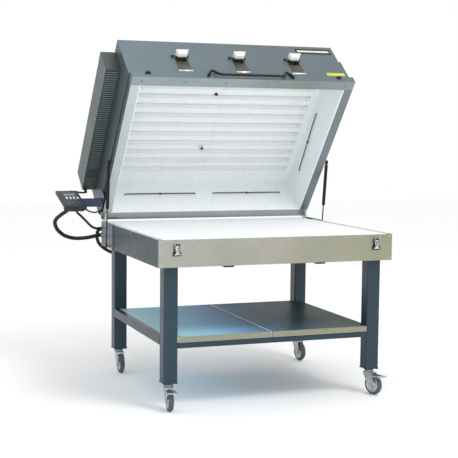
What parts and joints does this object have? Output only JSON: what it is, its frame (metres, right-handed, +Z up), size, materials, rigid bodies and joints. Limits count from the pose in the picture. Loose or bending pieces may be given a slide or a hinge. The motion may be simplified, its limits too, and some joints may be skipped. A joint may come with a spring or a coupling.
{
  "type": "glass kiln",
  "caption": "Wheeled flat-bed glass kiln: an insulated lid hinged at the back over a fibre table, with gas struts, vent flaps, castors and a controller on an arm.",
  "frame": {"origin": "on the floor, under the middle of the kiln's outline with the lid open, measured without its cables", "axes": "+X to the kiln's right as seen from its front, +Y to the back, +Z up"},
  "size_m": [1.653, 1.4248, 1.9117],
  "materials": {
    "stainless": "satin",
    "frame_paint": "satin",
    "side_paint": "satin",
    "lid_paint": "satin",
    "shelf_paint": "satin",
    "fibre": "matte",
    "zinc": "satin",
    "tyre": "matte",
    "black_metal": "satin",
    "cable": "matte",
    "controller_case": "satin",
    "arm_paint": "satin"
  },
  "bodies": {
    "table": {"leg_front_left": "frame_paint", "leg_front_right": "frame_paint", "leg_rear_left": "frame_paint", "leg_rear_right": "frame_paint", "apron_front": "stainless", "apron_rear": "side_paint", "apron_left": "side_paint", "apron_right": "side_paint", "bottom_plate": "side_paint", "deck": "fibre", "hinge_plate_left": "side_paint", "hinge_plate_right": "side_paint", "terminal_box": "side_paint", "rail_front": "frame_paint", "rail_rear": "frame_paint", "rail_left": "frame_paint", "rail_right": "frame_paint", "shelf_left": "shelf_paint", "shelf_right": "shelf_paint", "cable_conduit": "cable", "cable_sensor": "cable", "cable_bundle": "cable"},
    "lid": {"casing_top": "lid_paint", "casing_front": "lid_paint", "casing_rear": "lid_paint", "casing_left": "lid_paint", "casing_right": "lid_paint", "fibre_lining": "fibre", "hinge_arm_left": "stainless", "hinge_arm_right": "stainless", "handle": "black_metal", "switchgear_box": "side_paint", "terminal_cover": "lid_paint", "controller": "controller_case", "controller_arm": "arm_paint", "cable_controller_supply": "cable", "cable_arm_lead": "cable"},
    "vent_flap_left": {"vent_flap_left": "fibre"},
    "vent_flap_middle": {"vent_flap_middle": "fibre"},
    "vent_flap_right": {"vent_flap_right": "fibre"},
    "latch_lever_left": {"latch_lever_left": "stainless"},
    "latch_bail_left": {"latch_bail_left": "stainless"},
    "latch_lever_right": {"latch_lever_right": "stainless"},
    "latch_bail_right": {"latch_bail_right": "stainless"},
    "inlet_slide_left": {"inlet_slide_left": "black_metal"},
    "inlet_slide_right": {"inlet_slide_right": "black_metal"},
    "caster_front_left": {"caster_fork_front_left": "zinc"},
    "wheel_front_left": {"caster_wheel_front_left": "tyre"},
    "brake_front_left": {"brake_pedal_front_left": "zinc"},
    "caster_rear_left": {"caster_fork_rear_left": "zinc"},
    "wheel_rear_left": {"caster_wheel_rear_left": "tyre"},
    "caster_rear_right": {"caster_fork_rear_right": "zinc"},
    "wheel_rear_right": {"caster_wheel_rear_right": "tyre"},
    "caster_front_right": {"caster_fork_front_right": "zinc"},
    "wheel_front_right": {"caster_wheel_front_right": "tyre"},
    "brake_front_right": {"brake_pedal_front_right": "zinc"},
    "strut_rod_left": {"strut_rod_left": "zinc"},
    "strut_tube_left": {"strut_tube_left": "black_metal"},
    "strut_rod_right": {"strut_rod_right": "zinc"},
    "strut_tube_right": {"strut_tube_right": "black_metal"}
  },
  "joints": [
    {"name": "lid_hinge", "type": "hinge", "parent": "table", "child": "lid", "pos_m": [0.119, 0.40799, 0.804], "axis": [1, 0, 0], "range_deg": [0, 51], "deforming": ["cable_conduit", "cable_sensor"]},
    {"name": "vent_flap_left_hinge", "type": "hinge", "parent": "lid", "child": "vent_flap_left", "pos_m": [-0.217, -0.05552, 1.82608], "axis": [1, 0, 0], "range_deg": [0, 90]},
    {"name": "vent_flap_middle_hinge", "type": "hinge", "parent": "lid", "child": "vent_flap_middle", "pos_m": [0.119, -0.05552, 1.82608], "axis": [1, 0, 0], "range_deg": [0, 90]},
    {"name": "vent_flap_right_hinge", "type": "hinge", "parent": "lid", "child": "vent_flap_right", "pos_m": [0.455, -0.05552, 1.82608], "axis": [1, 0, 0], "range_deg": [0, 90]},
    {"name": "latch_lever_left_hinge", "type": "hinge", "parent": "table", "child": "latch_lever_left", "pos_m": [-0.439, -0.69401, 0.806], "axis": [1, 0, 0], "range_deg": [0, 120]},
    {"name": "latch_bail_left_hinge", "type": "hinge", "parent": "latch_lever_left", "child": "latch_bail_left", "pos_m": [-0.439, -0.70251, 0.833], "axis": [1, 0, 0], "range_deg": [0, 60]},
    {"name": "latch_lever_right_hinge", "type": "hinge", "parent": "table", "child": "latch_lever_right", "pos_m": [0.677, -0.69401, 0.806], "axis": [1, 0, 0], "range_deg": [0, 120]},
    {"name": "latch_bail_right_hinge", "type": "hinge", "parent": "latch_lever_right", "child": "latch_bail_right", "pos_m": [0.677, -0.70251, 0.833], "axis": [1, 0, 0], "range_deg": [0, 60]},
    {"name": "inlet_slide_left_travel", "type": "slide", "parent": "table", "child": "inlet_slide_left", "axis": [1, 0, 0], "range_m": [0, 0.06]},
    {"name": "inlet_slide_right_travel", "type": "slide", "parent": "table", "child": "inlet_slide_right", "axis": [1, 0, 0], "range_m": [0, 0.06]},
    {"name": "caster_front_left_swivel", "type": "hinge", "parent": "table", "child": "caster_front_left", "pos_m": [-0.4545, -0.60451, 0.12], "axis": [0, 0, 1], "continuous": true},
    {"name": "wheel_front_left_spin", "type": "hinge", "parent": "caster_front_left", "child": "wheel_front_left", "pos_m": [-0.45816, -0.63932, 0.056], "axis": [0.9945, -0.1045, 0], "continuous": true},
    {"name": "brake_front_left_hinge", "type": "hinge", "parent": "caster_front_left", "child": "brake_front_left", "pos_m": [-0.45764, -0.63435, 0.104], "axis": [0.9945, -0.1045, 0], "range_deg": [0, 8]},
    {"name": "caster_rear_left_swivel", "type": "hinge", "parent": "table", "child": "caster_rear_left", "pos_m": [-0.4545, 0.35249, 0.12], "axis": [0, 0, 1], "continuous": true},
    {"name": "wheel_rear_left_spin", "type": "hinge", "parent": "caster_rear_left", "child": "wheel_rear_left", "pos_m": [-0.4545, 0.31749, 0.056], "axis": [1, 0, 0], "continuous": true},
    {"name": "caster_rear_right_swivel", "type": "hinge", "parent": "table", "child": "caster_rear_right", "pos_m": [0.6925, 0.35249, 0.12], "axis": [0, 0, 1], "continuous": true},
    {"name": "wheel_rear_right_spin", "type": "hinge", "parent": "caster_rear_right", "child": "wheel_rear_right", "pos_m": [0.69676, 0.31775, 0.056], "axis": [0.9925, 0.1219, 0], "continuous": true},
    {"name": "caster_front_right_swivel", "type": "hinge", "parent": "table", "child": "caster_front_right", "pos_m": [0.6925, -0.60451, 0.12], "axis": [0, 0, 1], "continuous": true},
    {"name": "wheel_front_right_spin", "type": "hinge", "parent": "caster_front_right", "child": "wheel_front_right", "pos_m": [0.70476, -0.6373, 0.056], "axis": [0.9367, 0.3502, 0], "continuous": true},
    {"name": "brake_front_right_hinge", "type": "hinge", "parent": "caster_front_right", "child": "brake_front_right", "pos_m": [0.70301, -0.63261, 0.104], "axis": [0.9367, 0.3502, 0], "range_deg": [0, 8]},
    {"name": "strut_left_swing", "type": "hinge", "parent": "table", "child": "strut_rod_left", "pos_m": [-0.559, 0.25199, 0.757], "axis": [1, 0, 0], "range_deg": [0, 57.6]},
    {"name": "strut_left_stroke", "type": "slide", "parent": "strut_rod_left", "child": "strut_tube_left", "axis": [0, -0.1247, 0.9922], "range_m": [-0.133, 0]},
    {"name": "strut_right_swing", "type": "hinge", "parent": "table", "child": "strut_rod_right", "pos_m": [0.797, 0.25199, 0.757], "axis": [1, 0, 0], "range_deg": [0, 57.6]},
    {"name": "strut_right_stroke", "type": "slide", "parent": "strut_rod_right", "child": "strut_tube_right", "axis": [0, -0.1247, 0.9922], "range_m": [-0.133, 0]}
  ],
  "couplings": [
    {"joint": "strut_left_swing", "follows": "lid_hinge", "ratio": 1.1235},
    {"joint": "strut_left_stroke", "follows": "lid_hinge", "m_per_rad": -0.1492},
    {"joint": "strut_right_swing", "follows": "lid_hinge", "ratio": 1.1235},
    {"joint": "strut_right_stroke", "follows": "lid_hinge", "m_per_rad": -0.1492}
  ]
}
